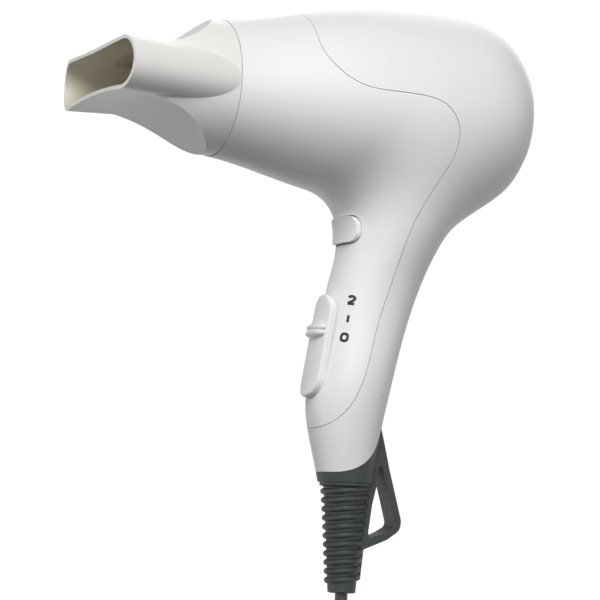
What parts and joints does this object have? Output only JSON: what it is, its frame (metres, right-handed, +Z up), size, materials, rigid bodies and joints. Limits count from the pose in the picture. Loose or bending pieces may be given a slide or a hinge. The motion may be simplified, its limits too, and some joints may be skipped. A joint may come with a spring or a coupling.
{
  "type": "hair dryer",
  "caption": "Hand-held hair dryer with a slim angled grip, pull-off flat nozzle, rear intake grille, sliding switch, cool-air button, ribbed cord boot and hanging loop.",
  "frame": {"origin": "middle of the grip on the XZ mirror plane, where the hand closes on it", "axes": "+X the way the air blows, +Y across to the left side, +Z up towards the barrel"},
  "size_m": [0.1997, 0.0874, 0.4885],
  "materials": {
    "white_shell": "satin moulded ABS, warm off-white",
    "nozzle_plastic": "satin heat-resistant plastic, warm off-white",
    "dark_soft_plastic": "matte anthracite elastomer",
    "cord_sheath": "matte dark PVC sheath",
    "plug_plastic": "matte moulded PVC",
    "tie_wire": "matte plastic strap",
    "steel": "plain steel",
    "zinc_steel": "zinc-plated steel can",
    "copper": "copper",
    "bronze": "sintered bronze",
    "pin_brass": "nickel-plated brass",
    "magnet": "dark ferrite and carbon",
    "circuit_board": "phenolic board",
    "mica": "pale mica sheet",
    "heater_wire": "oxidised resistance wire",
    "inner_plastic": "black moulded plastic",
    "fan_plastic": "dark moulded plastic",
    "filter_mesh": "fine woven mesh",
    "capacitor_yellow": "film capacitor"
  },
  "bodies": {
    "base": {"front_casing": "white_shell", "rear_casing_left": "white_shell", "rear_casing_right": "white_shell", "casing_screws": "steel", "intake_grille": "white_shell", "intake_filter": "filter_mesh", "fan_duct": "inner_plastic", "motor_can": "zinc_steel", "motor_magnets": "magnet", "motor_end_cap": "inner_plastic", "motor_bearings": "bronze", "motor_brushes": "magnet", "rectifier_board": "circuit_board", "mica_sleeve": "mica", "mica_cross": "mica", "heater_coil": "heater_wire", "thermostat": "inner_plastic", "thermal_fuse": "steel", "outlet_grille": "dark_soft_plastic", "switch_unit": "inner_plastic", "control_board": "circuit_board", "cool_switch": "inner_plastic", "filter_capacitor": "capacitor_yellow", "suppression_choke": "copper", "cool_spring": "steel", "cord_boot": "dark_soft_plastic", "cord_clamp": "inner_plastic", "cord_in_grip": "cord_sheath", "cord_cores": "copper", "terminal_block": "inner_plastic", "lead_wires": "copper", "cord_tube": "cord_sheath", "cord_hank": "cord_sheath", "cord_tie": "tie_wire", "plug_boot": "plug_plastic", "plug_body": "plug_plastic", "plug_pins": "pin_brass"},
    "nozzle_carrier": {"nozzle_ring": "dark_soft_plastic"},
    "nozzle": {"concentrator_nozzle": "nozzle_plastic"},
    "rotor": {"fan": "fan_plastic", "rotor_shaft": "steel", "armature_core": "steel", "armature_windings": "copper", "commutator": "copper"},
    "slider": {"speed_slider": "white_shell", "slider_carriage": "inner_plastic"},
    "cool_button": {"cool_button": "white_shell"}
  },
  "joints": [
    {"name": "nozzle_pull_off", "type": "slide", "parent": "base", "child": "nozzle_carrier", "axis": [1, 0, 0], "range_m": [0, 0.03]},
    {"name": "nozzle_turn", "type": "hinge", "parent": "nozzle_carrier", "child": "nozzle", "pos_m": [0.066, 0, 0.12], "axis": [1, 0, 0], "continuous": true},
    {"name": "rotor_spin", "type": "hinge", "parent": "base", "child": "rotor", "pos_m": [-0.02, 0, 0.12], "axis": [1, 0, 0], "continuous": true},
    {"name": "speed_slide", "type": "slide", "parent": "base", "child": "slider", "axis": [-0.1571, 0, 0.9876], "range_m": [0, 0.016]},
    {"name": "cool_press", "type": "slide", "parent": "base", "child": "cool_button", "axis": [-1, 0, 0], "range_m": [0, 0.002], "stiffness_N_per_m": 400, "springref_m": -0.002, "deforming": ["cool_spring"]}
  ]
}
